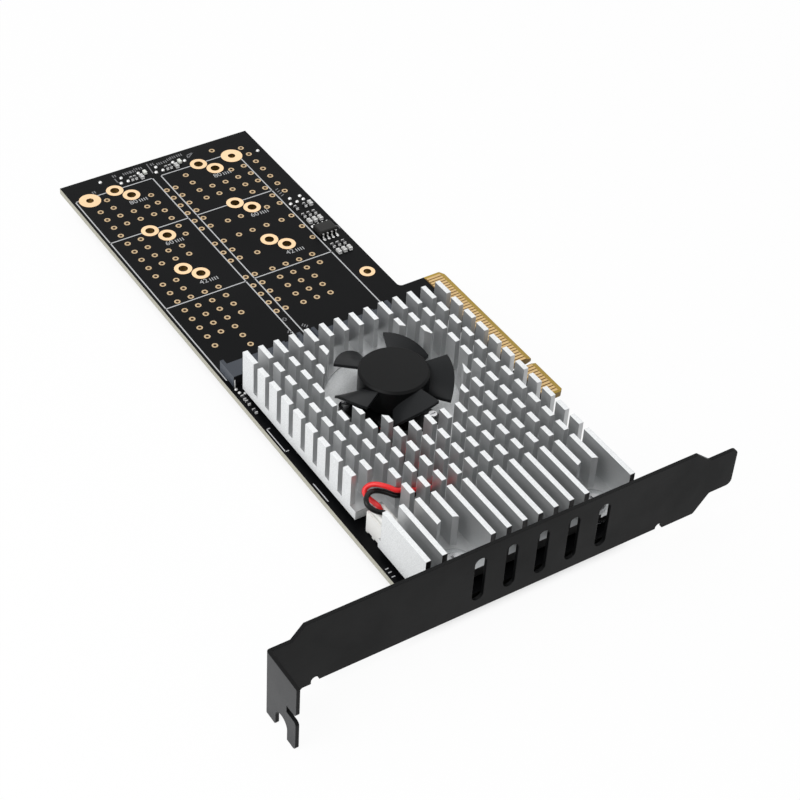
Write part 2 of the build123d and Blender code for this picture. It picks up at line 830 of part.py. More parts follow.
def lead_route(upper):
    """Route of one lead: from the fan between the fins, then round a loop into the plug.

    The red lead lies above the black one. Both lie low in one gap between two fins, turn into
    one cross cut and climb along it to the loop.
    """
    gap_x = lead_channel_x()
    channel_y = first_cut_y - (cut_count - 2) * cut_pitch
    low = lead_low_z(upper)
    high = low + lead_climb
    lag = 0.5 if upper else 0.0
    pin_y = header_pins_y()[0] if upper else header_pins_y()[1]
    plug_top = header_height + plug_proud
    if upper:
        loop = [
            (header_x + 1.95, channel_y + 2.8, high + 0.9),
            (header_x - 2.05, channel_y + 3.8, high + 0.9),
            (header_x - 2.35, pin_y + 0.75, high + 0.2),
            (header_x, pin_y, plug_top + 1.7),
        ]
    else:
        loop = [
            (header_x + 1.95, channel_y + 2.4, high + 0.7),
            (header_x - 1.75, channel_y + 3.4, high + 0.6),
            (header_x - 2.35, pin_y + 2.35, high - 0.1),
            (header_x, pin_y, plug_top + 1.0),
        ]
    inside = [
        (gap_x, fan_y - lead_entry_reach, low),
        (gap_x + 0.3, channel_y + 13.0 + lag, low),
        (gap_x, channel_y + 4.4 + lag, low + 0.1),
        (gap_x, channel_y, low + 0.3),
        (gap_x - 5.2, channel_y, low + 1.9),
        (header_x + 4.3, channel_y, high),
    ]
    return inside + loop + [(header_x, pin_y, header_height - plug_bore_depth)]


def lead(upper):
    """One insulated lead as straight runs joined by tangent arcs."""
    points = [Vector(*p) for p in lead_route(upper)]
    radii = []
    for before, here, after in zip(points, points[1:], points[2:]):
        arriving = here - before
        leaving = after - here
        turn = math.radians(arriving.get_angle(leaving))
        shorter = min(arriving.length, leaving.length)
        radii.append(0.45 * shorter / math.tan(turn / 2))
    print("lead radii", [round(r, 2) for r in radii])
    path = FilletPolyline(*points, radius=radii)
    start = Plane(origin=path @ 0, z_dir=path % 0)
    tube = sweep(start * Circle(lead_diameter / 2), path=path)
    print("lead length", round(path.length, 1), "volume", round(tube.volume, 2),
          "expected", round(math.pi * lead_diameter ** 2 / 4 * path.length, 2))
    return tube


def build_all():
    """Every node of the part by name."""
    nodes = {}
    nodes["circuit_board"] = board()
    nodes["edge_contacts_component_side"] = contacts(0)
    nodes["edge_contacts_solder_side"] = contacts(-board_thickness - contact_skin)
    holes = plated_holes()
    nodes["standoff_rings"] = Compound([plated_ring(*hole) for hole in holes[:12]])
    nodes["corner_pads"] = Compound([plated_ring(*hole) for hole in holes[12:14]])
    nodes["margin_ring"] = plated_ring(*holes[14])

    nodes["heatsink"] = heatsink()
    head_z = base_top_z - counterbore_depth
    pocket_length = head_z + board_thickness + sheet + 0.7
    nodes["bracket_screws"] = Compound(
        [pan_screw(x, pocket_y, head_z, pocket_length, True) for x in pocket_x])
    rear_length = board_thickness + base_top_z - 0.9
    nodes["heatsink_screws"] = Compound(
        [pan_screw(x, rear_screw_y, -board_thickness, rear_length, False) for x in rear_screw_x])

    die_top_z = sink_base_z - pad_thickness
    nodes["switch_chip_substrate"] = square_under_fan(chip_size, 0, chip_thickness)
    nodes["switch_chip_die"] = square_under_fan(die_size, chip_thickness, die_top_z)
    nodes["thermal_pad"] = square_under_fan(pad_size, die_top_z, sink_base_z)

    nodes["fan_base"] = fan_plate()
    nodes["fan_driver_board"] = fan_board()
    nodes["fan_stator"] = fan_coil()
    nodes["fan_bearing_sleeve"] = fan_bearing()
    nodes["fan_rotor"] = fan_rotor()
    nodes["fan_magnet_ring"] = fan_magnet()
    nodes["fan_shaft"] = fan_shaft()
    nodes["fan_screws"] = Compound(
        [small_screw(*fan_screw_place(angle), plate_top_z) for angle in fan_screw_angles])

    nodes["fan_header"] = fan_header()
    nodes["fan_header_pins"] = header_pins()
    nodes["fan_plug"] = fan_plug()
    nodes["fan_lead_red"] = lead(True)
    nodes["fan_lead_black"] = lead(False)

    names = ("left", "back_left", "right", "back_right")
    for name, (x, y, on_back) in zip(names, socket_places()):
        height = back_socket_height if on_back else top_socket_height
        nodes["drive_socket_" + name] = seat(socket_body(height), x, y, on_back)
        nodes["socket_tails_" + name] = seat(socket_tails(), x, y, on_back)

    nodes["bracket"] = bracket()
    nodes["memory_chip"] = memory_chip()
    nodes["memory_chip_leads"] = memory_leads()
    nodes.update(small_parts())
    nodes.update(power_parts())
    return nodes


for node, shape in build_all().items():
    export_step(shape, "parts/" + node + ".step")
    bounds = shape.bounding_box()
    print(node, round(shape.volume, 2), [round(v, 2) for v in (*bounds.min, *bounds.max)])
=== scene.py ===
"""Looks of the drive adapter card: finishes for the built pieces, and the print, vias, test points,
tinned ends, solder and smooth fan leads that lie on them. Shapes are worked out in millimetres in
the card's own frame, and become metres where their mesh or curve is made."""
import json
import math

import bmesh
import bpy
import numpy as np
from mathutils import Matrix, Vector


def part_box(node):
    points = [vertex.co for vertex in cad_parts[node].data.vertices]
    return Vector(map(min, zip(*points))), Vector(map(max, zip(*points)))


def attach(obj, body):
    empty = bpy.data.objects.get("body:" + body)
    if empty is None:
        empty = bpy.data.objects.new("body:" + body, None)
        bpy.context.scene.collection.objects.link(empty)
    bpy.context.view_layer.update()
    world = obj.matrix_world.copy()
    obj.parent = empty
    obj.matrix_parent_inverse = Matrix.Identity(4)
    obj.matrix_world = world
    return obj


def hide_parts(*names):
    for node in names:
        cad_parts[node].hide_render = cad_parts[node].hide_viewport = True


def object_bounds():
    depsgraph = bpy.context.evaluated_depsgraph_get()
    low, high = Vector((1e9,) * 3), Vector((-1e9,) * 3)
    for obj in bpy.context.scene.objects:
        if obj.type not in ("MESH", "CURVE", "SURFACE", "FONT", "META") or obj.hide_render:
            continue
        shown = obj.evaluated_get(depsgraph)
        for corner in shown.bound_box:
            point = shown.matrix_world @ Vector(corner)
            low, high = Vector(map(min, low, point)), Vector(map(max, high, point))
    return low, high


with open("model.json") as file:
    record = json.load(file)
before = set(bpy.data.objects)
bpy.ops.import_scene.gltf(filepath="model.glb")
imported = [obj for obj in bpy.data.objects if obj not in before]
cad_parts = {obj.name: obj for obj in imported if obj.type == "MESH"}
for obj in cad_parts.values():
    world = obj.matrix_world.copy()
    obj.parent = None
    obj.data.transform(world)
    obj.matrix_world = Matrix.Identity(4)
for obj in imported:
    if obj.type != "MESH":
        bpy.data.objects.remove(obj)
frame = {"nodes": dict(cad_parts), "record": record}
nodes = frame["nodes"]
cad_low, cad_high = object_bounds()
board_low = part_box("circuit_board")[0]
mm = 0.001


def middle_across(node):
    """The middle of a node across the board, in millimetres."""
    low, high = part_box(node)
    return (low.x + high.x) / 2 / mm


# Places on the board, in millimetres
back_face = board_low.z / mm
tongue_start_x = -5.75
drive_x = (middle_across("drive_socket_left"), middle_across("drive_socket_right"))
drive_sizes = ("80", "60", "42")
number_rows_y = (103.2, 83.2, 65.0)
number_shift = 2.05
number_height = 2.3
outline_half = 11.25
outline_rows_y = (110.3, 90.2, 60.0)
outline_start_y = 34.6
first_side_start_y = 29.5
hole_gap_half = 2.5
via_pitch = 3.835
memory_pitch = 1.27

# Widths and heights of what is printed or plated on the board, in millimetres
ink = 0.018
outline_width = 0.32
margin_width = 0.24
unit_width = 0.26
mark_width = 0.3
via_rise = 0.035

# Tinned ends and solder of the small parts, in millimetres or as shares of a height
cap_proud = 0.02
fillet_reach = 0.12
fillet_share = 0.6
fillet_toe = 0.03

# The fan, its leads and its pocket in the heatsink: the axis in metres, the rest in millimetres
fan_axis = frame["record"]["behaviour"]["joints"][0]["pos_m"]
hub_radius = 8.4
pocket_floor = 3.8
lead_radius = 0.6

# How far under an outer face, in metres, a finish still takes a place to be on that face
skin = 0.05 * mm

# How far a dome's outline goes from its rim towards its tip, in half turns
dome_end = 0.499

# From how much of its length along an axis a surface's normal counts as facing that way
faces_along = 0.5
mostly_level = 0.7

# Corners and faces of a box of unit size
box_corners = np.array([[0, 0, 0], [1, 0, 0], [1, 1, 0], [0, 1, 0],
                        [0, 0, 1], [1, 0, 1], [1, 1, 1], [0, 1, 1]])
box_quads = np.array([[0, 3, 2, 1], [4, 5, 6, 7], [0, 1, 5, 4], [1, 2, 6, 5], [2, 3, 7, 6], [3, 0, 4, 7]])


def join_arrays(parts):
    """Several (points, faces) pairs as one, each pair's face numbers moved past the points before it."""
    points, faces, start = [], [], 0
    for part_points, part_faces in parts:
        points.append(part_points)
        faces.append(part_faces + start)
        start += len(part_points)
    return np.concatenate(points), np.concatenate(faces)


def copied_faces(faces, point_count, copies):
    """The faces of one shape for each of its copies: those of copy number i are moved past i times
    the shape's count of points."""
    numbers = faces[None] + (np.arange(copies) * point_count)[:, None, None]
    return numbers.reshape(-1, faces.shape[1])


def repeat(shape, places):
    """One (points, faces) pair set down at every place of an (n, 3) array, as whole arrays."""
    points, faces = shape
    places = np.asarray(places, float)
    moved = (points[None] + places[:, None]).reshape(-1, 3)
    return moved, copied_faces(faces, len(points), len(places))


def ring_faces(rings, count):
    """Quads between neighbouring rings that have that many points each and close on themselves."""
    ring, point = np.meshgrid(np.arange(rings - 1), np.arange(count), indexing="ij")
    beside = (point + 1) % count
    near, far = ring * count, (ring + 1) * count
    return np.stack([near + point, near + beside, far + beside, far + point], -1).reshape(-1, 4)


def turned(profile, segments):
    """A profile of (radius, height) turned about Z: each point goes to radius times the cosine and
    sine of the angle, and its height stays."""
    profile = np.asarray(profile, float)
    angle = np.arange(segments) * 2 * np.pi / segments
    radius, height = profile[:, :1], profile[:, 1:]
    points = np.stack([radius * np.cos(angle), radius * np.sin(angle), height + 0 * angle], -1)
    return points.reshape(-1, 3), ring_faces(len(profile), segments)


def dome(radius, rise, rings, segments):
    """A quarter of an ellipse turned about its upright axis: the radius goes with the cosine of the
    angle and the height with its sine."""
    angle = np.linspace(0.0, dome_end, rings) * np.pi
    return turned(np.stack([radius * np.cos(angle), rise * np.sin(angle)], 1), segments)


def blocks(low, high):
    """Boxes between the (n, 3) arrays low and high: each corner takes low or high on each axis."""
    low, high = np.asarray(low, float), np.asarray(high, float)
    points = low[:, None] + box_corners[None] * (high - low)[:, None]
    return points.reshape(-1, 3), copied_faces(box_quads, len(box_corners), len(low))


def strips(lines, width):
    """Flat bars of ink along (x0, y0, x1, y1) lines: half the width to each side of the line, and
    half the width past each end, from the board's face up to the thickness of the ink."""
    lines = np.asarray(lines, float)
    start, end = lines[:, :2], lines[:, 2:]
    along = end - start
    along /= np.linalg.norm(along, axis=1)[:, None]
    side = np.stack([-along[:, 1], along[:, 0]], 1) * width / 2
    first, last = start - along * width / 2, end + along * width / 2
    corners = np.stack([first - side, last - side, last + side, first + side], 1)
    face = np.zeros(corners.shape[:2] + (1,))
    points = np.concatenate([np.concatenate([corners, face], 2), np.concatenate([corners, face + ink], 2)], 1)
    return points.reshape(-1, 3), copied_faces(box_quads, len(box_corners), len(lines))


def on_both_faces(shape):
    """The shape on the upper face, and again turned over onto the back, its faces still pointing out."""
    points, faces = shape
    return join_arrays([shape, (points * [1, 1, -1] + [0, 0, back_face], faces[:, ::-1])])


def placed(name, data):
    """A new object of the scene with this mesh, curve, lamp or camera."""
    made = bpy.data.objects.new(name, data)
    bpy.context.scene.collection.objects.link(made)
    return made


def piece(name, shape, material, smooth=False):
    """A new piece from points in millimetres, with its finish, riding on the card."""
    points, faces = shape
    mesh = bpy.data.meshes.new(name)
    mesh.from_pydata((points * mm).tolist(), [], faces.tolist())
    mesh.materials.append(material)
    mesh.polygons.foreach_set("use_smooth", np.full(len(mesh.polygons), smooth))
    mesh.validate()
    mesh.update()
    made = placed(name, mesh)
    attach(made, "card")


def block_solids(node):
    """Lowest and highest corners, in millimetres, of each box in a node made of plain boxes: a box
    is 24 corner points in a row."""
    mesh = nodes[node].data
    points = np.zeros(len(mesh.vertices) * 3)
    mesh.vertices.foreach_get("co", points)
    points = points.reshape(-1, 24, 3) / mm
    return points.min(1), points.max(1)


# Finishes

def group_socket(group, name, kind, default=None, output=False):
    """One named socket of a shader group."""
    made = group.interface.new_socket(name, in_out="OUTPUT" if output else "INPUT", socket_type=kind)
    if default is not None:
        made.default_value = default
    return made


def add_node(tree, kind, **values):
    """A shader node with its properties and its inputs set by name."""
    made = tree.nodes.new(kind)
    for key, value in values.items():
        if hasattr(made, key):
            setattr(made, key, value)
        else:
            made.inputs[key.replace("_", " ")].default_value = value
    return made


def surface_grain():
    """Group: fine noise as a bump over slightly rounded edges, with the same noise as a value."""
    group = bpy.data.node_groups.new("surface grain", "ShaderNodeTree")
    group_socket(group, "Grain Scale", "NodeSocketFloat", 4000.0)
    group_socket(group, "Grain Depth", "NodeSocketFloat", 0.00001)
    group_socket(group, "Edge Radius", "NodeSocketFloat", 0.0001)
    group_socket(group, "Normal", "NodeSocketVector", output=True)
    group_socket(group, "Grain", "NodeSocketFloat", output=True)
    inputs = group.nodes.new("NodeGroupInput")
    outputs = group.nodes.new("NodeGroupOutput")
    place = group.nodes.new("ShaderNodeTexCoord")
    noise = add_node(group, "ShaderNodeTexNoise", Detail=2.0, Roughness=0.55)
    rounded = add_node(group, "ShaderNodeBevel", samples=4)
    bump = add_node(group, "ShaderNodeBump", Strength=1.0)
    link = group.links.new
    link(place.outputs["Object"], noise.inputs["Vector"])
    link(inputs.outputs["Grain Scale"], noise.inputs["Scale"])
    link(inputs.outputs["Edge Radius"], rounded.inputs["Radius"])
    link(inputs.outputs["Grain Depth"], bump.inputs["Distance"])
    link(noise.outputs["Fac"], bump.inputs["Height"])
    link(rounded.outputs["Normal"], bump.inputs["Normal"])
    link(bump.outputs["Normal"], outputs.inputs["Normal"])
    link(noise.outputs["Fac"], outputs.inputs["Grain"])
    return group


def handling_marks():
    """Group: broad soft patches, between a low and a high value, as fingers and wiping leave them."""
    group = bpy.data.node_groups.new("handling marks", "ShaderNodeTree")
    group_socket(group, "Patch Scale", "NodeSocketFloat", 60.0)
    group_socket(group, "Low", "NodeSocketFloat", 0.4)
    group_socket(group, "High", "NodeSocketFloat", 0.5)
    group_socket(group, "Value", "NodeSocketFloat", output=True)
    inputs = group.nodes.new("NodeGroupInput")
    outputs = group.nodes.new("NodeGroupOutput")
    place = group.nodes.new("ShaderNodeTexCoord")
    noise = add_node(group, "ShaderNodeTexNoise", Detail=4.0, Roughness=0.6)
    spread = add_node(group, "ShaderNodeMapRange", From_Min=0.35, From_Max=0.65)
    link = group.links.new
    link(place.outputs["Object"], noise.inputs["Vector"])
    link(inputs.outputs["Patch Scale"], noise.inputs["Scale"])
    link(noise.outputs["Fac"], spread.inputs["Value"])
    link(inputs.outputs["Low"], spread.inputs["To Min"])
    link(inputs.outputs["High"], spread.inputs["To Max"])
    link(spread.outputs["Result"], outputs.inputs["Value"])
    return group


grain_group = surface_grain()
marks_group = handling_marks()


def coordinate(tree, kind):
    """The place on the piece (Object), or the way that its surface faces (Normal), as a vector."""
    return tree.nodes.new("ShaderNodeTexCoord").outputs[kind]


def parts_of(tree, vector):
    """The X, Y and Z of a vector, by name."""
    made = tree.nodes.new("ShaderNodeSeparateXYZ")
    tree.links.new(vector, made.inputs[0])
    return made.outputs


def calculated(tree, operation, *values):
    """The result of a Math node on sockets and plain numbers."""
    made = add_node(tree, "ShaderNodeMath", operation=operation)
    for value, target in zip(values, made.inputs):
        if isinstance(value, float):
            target.default_value = value
        else:
            tree.links.new(value, target)
    return made.outputs[0]


def above(tree, value, threshold):
    """A mask that is 1 where the value is over the threshold, and 0 elsewhere."""
    return calculated(tree, "GREATER_THAN", value, threshold)


def below(tree, value, threshold):
    """A mask that is 1 where the value is under the threshold, and 0 elsewhere."""
    return calculated(tree, "LESS_THAN", value, threshold)


def either(tree, *masks):
    """A mask that is set where any of several masks is: the greatest of them."""
    greatest = masks[0]
    for mask in masks[1:]:
        greatest = calculated(tree, "MAXIMUM", greatest, mask)
    return greatest


def blend_colour(tree, mask, first, second):
    """A colour mix by a mask; each of the two is a socket or a plain colour."""
    made = add_node(tree, "ShaderNodeMix", data_type="RGBA")
    tree.links.new(mask, made.inputs["Factor"])
    for value, target in ((first, made.inputs["A"]), (second, made.inputs["B"])):
        if isinstance(value, tuple):
            target.default_value = (*value, 1)
        else:
            tree.links.new(value, target)
    return made.outputs["Result"]


def recolour(tree, mask, colour):
    """Where the mask is set, the finish takes this colour, or this socket, in place of its own."""
    target = tree.nodes["Principled BSDF"].inputs["Base Color"]
    own_colour = target.links[0].from_socket
    tree.links.new(blend_colour(tree, mask, own_colour, colour), target)


def finish(name, dark, light, rough, grain, metallic=0.0, specular=0.5, edge=0.00008, patches=60.0):
    """A finish between two close colours: grain is its scale and depth, rough its two roughnesses,
    edge how far its edges look rounded, in metres, and patches the scale of the handling marks."""
    made = bpy.data.materials.new(name)
    made.use_nodes = True
    tree = made.node_tree
    shader = tree.nodes["Principled BSDF"]
    shader.inputs["Metallic"].default_value = metallic
    shader.inputs["Specular IOR Level"].default_value = specular
    surface = add_node(tree, "ShaderNodeGroup", node_tree=grain_group)
    surface.inputs["Grain Scale"].default_value = grain[0]
    surface.inputs["Grain Depth"].default_value = grain[1]
    surface.inputs["Edge Radius"].default_value = edge
    marks = add_node(tree, "ShaderNodeGroup", node_tree=marks_group)
    marks.inputs["Patch Scale"].default_value = patches
    marks.inputs["Low"].default_value = rough[0]
    marks.inputs["High"].default_value = rough[1]
    tint = blend_colour(tree, surface.outputs["Grain"], dark, light)
    tree.links.new(tint, shader.inputs["Base Color"])
    tree.links.new(marks.outputs["Value"], shader.inputs["Roughness"])
    tree.links.new(surface.outputs["Normal"], shader.inputs["Normal"])
    return made


# Metals

gold = finish("edge contact gold", (0.44, 0.30, 0.135), (0.60, 0.42, 0.205),
              rough=(0.28, 0.42), grain=(2500, 0.000004), metallic=1.0, edge=0.00004)
via_gold = finish("via plating", (0.42, 0.30, 0.17), (0.62, 0.475, 0.30),
                  rough=(0.35, 0.5), grain=(2500, 0.000004), metallic=1.0, edge=0.00002)
steel = finish("screw steel", (0.58, 0.58, 0.59), (0.76, 0.76, 0.77),
               rough=(0.22, 0.38), grain=(3000, 0.000005), metallic=1.0)
tin = finish("tinned metal", (0.62, 0.62, 0.61), (0.82, 0.82, 0.81),
             rough=(0.25, 0.42), grain=(2600, 0.000006), metallic=1.0, edge=0.00003)
tinned_ends = finish("tinned ends", (0.60, 0.60, 0.595), (0.76, 0.76, 0.755),
                     rough=(0.4, 0.55), grain=(2600, 0.000006), metallic=0.3, edge=0.00003)
copper = finish("stator copper", (0.35, 0.14, 0.06), (0.62, 0.28, 0.12),
                rough=(0.3, 0.45), grain=(1500, 0.00002), metallic=1.0)
bronze = finish("sintered bronze", (0.36, 0.22, 0.10), (0.50, 0.32, 0.16),
                rough=(0.4, 0.55), grain=(2600, 0.00001), metallic=1.0)


def heatsink_finish():
    """Aluminium that the blasting left matt on the fin tops, the fan pocket's floor and the outer sides, and
    smoother in the milled channels. Those outer faces are paler, partly from the blasting and partly painted
    light, and the channels darker, partly painted shade; the end behind the bracket is painted shade."""
    made = finish("milled aluminium", (0.50, 0.51, 0.515), (0.60, 0.61, 0.615),
                  rough=(0.34, 0.46), grain=(3500, 0.000005), metallic=0.7, edge=0.00012)
    # Pale colours of the outer faces: partly the blasted finish, partly painted light
    painted_lit_dark, painted_lit_light = (0.70, 0.715, 0.72), (0.85, 0.865, 0.87)
    # Near black for the end behind the bracket: painted shade
    painted_shade_end = (0.07, 0.07, 0.07)
    blasted_roughening = 0.16
    tree = made.node_tree
    link = tree.links.new
    place = coordinate(tree, "Object")
    at = parts_of(tree, place)
    low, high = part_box("heatsink")
    fin_tops = above(tree, at["Z"], high.z - skin)
    fan_floor = below(tree, at["Z"], pocket_floor * mm + skin)
    left_side = below(tree, at["X"], low.x + skin)
    right_side = above(tree, at["X"], high.x - skin)
    far_end = above(tree, at["Y"], high.y - skin)
    blast_and_painted_lit = either(tree, fin_tops, fan_floor, left_side, right_side, far_end)
    speckle = add_node(tree, "ShaderNodeTexNoise", Scale=3600.0, Detail=3.0, Roughness=0.7)
    spread = add_node(tree, "ShaderNodeMapRange", From_Min=0.35, From_Max=0.65)
    link(place, speckle.inputs["Vector"])
    link(speckle.outputs["Fac"], spread.inputs["Value"])
    painted_lit_colour = blend_colour(tree, spread.outputs["Result"], painted_lit_dark, painted_lit_light)
    # Outer faces take the pale colour: partly blasted finish, partly painted light beside the channels'
    # painted shade
    recolour(tree, blast_and_painted_lit, painted_lit_colour)
    # Painted shade on the end face behind the bracket
    recolour(tree, below(tree, at["Y"], low.y + skin), painted_shade_end)
    roughness = tree.nodes["Principled BSDF"].inputs["Roughness"]
    milled_roughness = roughness.links[0].from_socket
    link(calculated(tree, "MULTIPLY_ADD", blast_and_painted_lit, blasted_roughening, milled_roughness), roughness)
    return made


def ring_finish():
    """Gold plate, pale on the flat faces, with painted shade in dark brown down the bore."""
    made = finish("hole plating", (0.74, 0.51, 0.29), (0.83, 0.60, 0.38),
                  rough=(0.25, 0.38), grain=(2500, 0.000004), metallic=1.0, edge=0.00004)
    # Dark brown down the bore: painted shade
    bore_painted_shade = (0.15, 0.085, 0.022)
    tree = made.node_tree
    facing = parts_of(tree, coordinate(tree, "Normal"))
    bore = below(tree, calculated(tree, "ABSOLUTE", facing["Z"]), faces_along)
    recolour(tree, bore, bore_painted_shade)
    return made


aluminium = heatsink_finish()
hole_gold = ring_finish()


# Plastics, insulation and paint

base_black = finish("fan base plastic", (0.0030, 0.0030, 0.0032), (0.0050, 0.0050, 0.0053),
                    rough=(0.16, 0.3), grain=(1800, 0.000004), specular=0.35, edge=0.0002)
nylon = finish("natural nylon", (0.80, 0.80, 0.77), (0.88, 0.88, 0.86),
               rough=(0.38, 0.5), grain=(1200, 0.000005), edge=0.00015)
package = finish("moulded package", (0.006, 0.006, 0.0055), (0.012, 0.0115, 0.0105),
                 rough=(0.45, 0.6), grain=(4000, 0.00001), specular=0.25)
red_cover = finish("red insulation", (0.78, 0.012, 0.014), (0.88, 0.022, 0.024),
                   rough=(0.28, 0.4), grain=(900, 0.000006))
black_cover = finish("black insulation", (0.0022, 0.0022, 0.0022), (0.004, 0.004, 0.004),
                     rough=(0.22, 0.32), grain=(900, 0.000006), specular=0.25)


def socket_finish():
    """Dark blue-grey moulding, with painted shade that makes its upper face deeper and the face with the
    solder tails black.
    """
    made = finish("socket plastic", (0.045, 0.054, 0.070), (0.065, 0.076, 0.094),
                  rough=(0.4, 0.55), grain=(2200, 0.000006), edge=0.00012)
    # Upper face and the face with the tails: painted shade by the way each face turns
    painted_shade_top = (0.022, 0.029, 0.042)
    painted_shade_tail_side = (0.003, 0.003, 0.004)
    tree = made.node_tree
    facing = parts_of(tree, coordinate(tree, "Normal"))
    recolour(tree, above(tree, facing["Z"], faces_along), painted_shade_top)
    recolour(tree, below(tree, facing["Y"], -faces_along), painted_shade_tail_side)
    return made


def bracket_finish():
    """Satin black paint, with a painted highlight that makes it greyer along the folded tab's outer edge."""
    made = finish("satin black paint", (0.0030, 0.0032, 0.0034), (0.0044, 0.0047, 0.0049),
                  rough=(0.40, 0.52), grain=(2200, 0.000008), specular=0.11, edge=0.0002)
    # Greyer outer face of the tab: painted highlight
    painted_highlight_grey = (0.055, 0.056, 0.058)
    tree = made.node_tree
    at = parts_of(tree, coordinate(tree, "Object"))
    recolour(tree, below(tree, at["X"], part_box("bracket")[0].x + skin), painted_highlight_grey)
    return made


def fan_finish():
    """Satin black moulding; the blades, outside the hub, are a shade paler. The distance from the
    axis is the length of the place less the axis, with its height taken as nothing."""
    made = finish("fan plastic", (0.0036, 0.0038, 0.0040), (0.0058, 0.0061, 0.0064),
                  rough=(0.30, 0.42), grain=(1800, 0.000005), specular=0.1, edge=0.0002)
    blade_colour = (0.016, 0.017, 0.018)
    tree = made.node_tree
    from_axis = add_node(tree, "ShaderNodeVectorMath", operation="SUBTRACT")
    from_axis.inputs[1].default_value = fan_axis
    level = add_node(tree, "ShaderNodeVectorMath", operation="MULTIPLY")
    level.inputs[1].default_value = (1, 1, 0)
    distance = add_node(tree, "ShaderNodeVectorMath", operation="LENGTH")
    tree.links.new(coordinate(tree, "Object"), from_axis.inputs[0])
    tree.links.new(from_axis.outputs[0], level.inputs[0])
    tree.links.new(level.outputs[0], distance.inputs[0])
    recolour(tree, above(tree, distance.outputs["Value"], hub_radius * mm), blade_colour)
    return made


socket_plastic = socket_finish()
paint = bracket_finish()
fan_black = fan_finish()


# Small parts and what the fan and the heatsink hide

ceramic = finish("capacitor ceramic", (0.30, 0.24, 0.17), (0.40, 0.33, 0.24),
                 rough=(0.4, 0.55), grain=(4000, 0.000004), edge=0.00003)
pale_ceramic = finish("pale capacitor ceramic", (0.42, 0.42, 0.41), (0.60, 0.60, 0.59),
                      rough=(0.4, 0.55), grain=(4000, 0.000004), edge=0.00003)
film = finish("resistor film", (0.010, 0.010, 0.012), (0.020, 0.020, 0.024),
              rough=(0.3, 0.4), grain=(3000, 0.000004), edge=0.00003)
lamp_white = finish("lamp body", (0.78, 0.80, 0.74), (0.88, 0.90, 0.84),
                    rough=(0.3, 0.4), grain=(1500, 0.000004))
ferrite = finish("ferrite", (0.06, 0.06, 0.062), (0.11, 0.11, 0.112),
                 rough=(0.55, 0.7), grain=(2500, 0.00002))
magnet = finish("bonded magnet", (0.03, 0.03, 0.03), (0.05, 0.05, 0.05),
                rough=(0.6, 0.75), grain=(2200, 0.00001))
substrate = finish("chip substrate", (0.010, 0.045, 0.022), (0.014, 0.06, 0.03),
                   rough=(0.35, 0.5), grain=(1500, 0.000004))
silicon = finish("polished die", (0.05, 0.055, 0.065), (0.07, 0.075, 0.09),
                 rough=(0.1, 0.18), grain=(800, 0.000001))
pad_grey = finish("thermal pad", (0.30, 0.34, 0.38), (0.36, 0.40, 0.45),
                  rough=(0.7, 0.85), grain=(900, 0.00002))


# Board and print

def ink_finish(name, dark, light):
    """Matt print between two close colours."""
    return finish(name, dark, light, rough=(0.5, 0.65), grain=(3000, 0.000004), specular=0.2, edge=0.00001)


grey_ink = ink_finish("grey print", (0.14, 0.14, 0.145), (0.26, 0.26, 0.27))
white_ink = ink_finish("white print", (0.46, 0.47, 0.48), (0.64, 0.65, 0.66))
number_ink = ink_finish("dim print", (0.35, 0.355, 0.36), (0.52, 0.525, 0.53))
# Dark disc in each via's hole: painted shade
via_hole_painted_shade = finish("via hole painted shade", (0.016, 0.007, 0.003), (0.060, 0.028, 0.010),
                   rough=(0.6, 0.8), grain=(2500, 0.000004), specular=0.1)


def board_finish():
    """Black solder mask on both faces, layered laminate on the cut edges, and bare laminate on the tongue:
    pale in the band along its tip and ends, brown in the gaps between the contacts. The cut edge at the
    bracket end is painted shade, near black."""
    made = finish("circuit board", (0.0026, 0.0028, 0.0032), (0.0040, 0.0043, 0.0049),
                  rough=(0.34, 0.46), grain=(2600, 0.000003), specular=0.05, edge=0.00006, patches=35.0)
    layer_dark, layer_light = (0.36, 0.35, 0.29), (0.52, 0.51, 0.43)
    band_dark, band_light = (0.40, 0.265, 0.05), (0.54, 0.37, 0.085)
    gap_dark, gap_light = (0.13, 0.075, 0.022), (0.22, 0.13, 0.045)
    # Near black for the cut edge at the bracket end: painted shade
    bracket_end_painted_shade = (0.02, 0.019, 0.016)
    tongue_edge_colour = (0.30, 0.21, 0.09)
    tree = made.node_tree
    place = coordinate(tree, "Object")
    at = parts_of(tree, place)
    facing = parts_of(tree, coordinate(tree, "Normal"))
    cut_edge = below(tree, calculated(tree, "ABSOLUTE", facing["Z"]), mostly_level)
    tongue = above(tree, at["X"], tongue_start_x * mm)
    bracket_end = below(tree, at["Y"], board_low.y + skin)

    layers = add_node(tree, "ShaderNodeTexWave", bands_direction="Z", Scale=800.0, Distortion=0.4, Detail=1.0)
    weave = add_node(tree, "ShaderNodeTexNoise", Scale=2200.0, Detail=2.0)
    tree.links.new(place, layers.inputs["Vector"])
    tree.links.new(place, weave.inputs["Vector"])
    band_colour = blend_colour(tree, weave.outputs["Fac"], band_dark, band_light)
    gap_colour = blend_colour(tree, weave.outputs["Fac"], gap_dark, gap_light)
    contacts_low, contacts_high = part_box("edge_contacts_component_side")
    past_tips = above(tree, at["X"], contacts_high.x)
    past_far_end = above(tree, at["Y"], contacts_high.y)
    past_near_end = below(tree, at["Y"], contacts_low.y)
    band = either(tree, past_tips, past_far_end, past_near_end)
    edge_colour = blend_colour(tree, layers.outputs["Fac"], layer_dark, layer_light)
    # Painted shade on the cut edge at the bracket end
    edge_colour = blend_colour(tree, bracket_end, edge_colour, bracket_end_painted_shade)
    edge_colour = blend_colour(tree, tongue, edge_colour, tongue_edge_colour)
    recolour(tree, tongue, blend_colour(tree, band, gap_colour, band_colour))
    recolour(tree, cut_edge, edge_colour)
    return made


board = board_finish()


# Finishes of the built pieces

